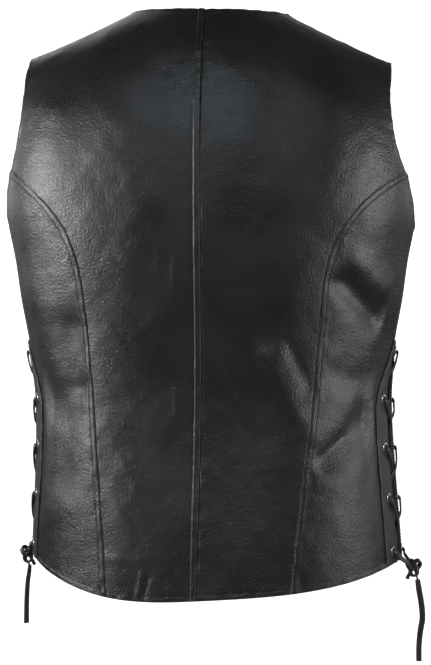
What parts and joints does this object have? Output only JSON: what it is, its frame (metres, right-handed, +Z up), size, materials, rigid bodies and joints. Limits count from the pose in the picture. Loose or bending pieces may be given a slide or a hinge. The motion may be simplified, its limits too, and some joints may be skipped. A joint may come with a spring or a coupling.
{
  "type": "leather vest with laced sides",
  "caption": "Sleeveless black leather vest, worn form, with curved back seams, snap front and laced, eyeleted side slits.",
  "frame": {"origin": "between the shoulders, in the middle of the neck opening, level with the neck ends of the shoulder seams", "axes": "+Z up, -Y towards the wearer's front, +X towards the wearer's left"},
  "size_m": [0.4406, 0.2546, 0.6816],
  "materials": {
    "leather": "pebbled grain, semi-gloss",
    "band_leather": "pebbled grain, semi-gloss",
    "lace": "smooth flat thong, satin",
    "nickel": "polished nickel plate, lightly worn"
  },
  "bodies": {
    "root": {"back_left": "leather", "back_right": "leather", "side_back_left": "leather", "side_back_right": "leather", "front_left": "leather", "front_right": "leather", "lace_band_back_left": "band_leather", "lace_band_back_right": "band_leather", "lace_band_front_left": "band_leather", "lace_band_front_right": "band_leather", "eyelet_back_left_1": "nickel", "eyelet_back_left_2": "nickel", "eyelet_back_left_3": "nickel", "eyelet_back_left_4": "nickel", "eyelet_back_right_1": "nickel", "eyelet_back_right_2": "nickel", "eyelet_back_right_3": "nickel", "eyelet_back_right_4": "nickel", "eyelet_front_left_1": "nickel", "eyelet_front_left_2": "nickel", "eyelet_front_left_3": "nickel", "eyelet_front_left_4": "nickel", "eyelet_front_left_5": "nickel", "eyelet_front_right_1": "nickel", "eyelet_front_right_2": "nickel", "eyelet_front_right_3": "nickel", "eyelet_front_right_4": "nickel", "eyelet_front_right_5": "nickel", "lace_left": "lace", "lace_right": "lace", "lace_end_left": "lace", "lace_end_right": "lace", "snap_1": "nickel", "snap_2": "nickel", "snap_3": "nickel", "snap_4": "nickel"}
  },
  "joints": []
}
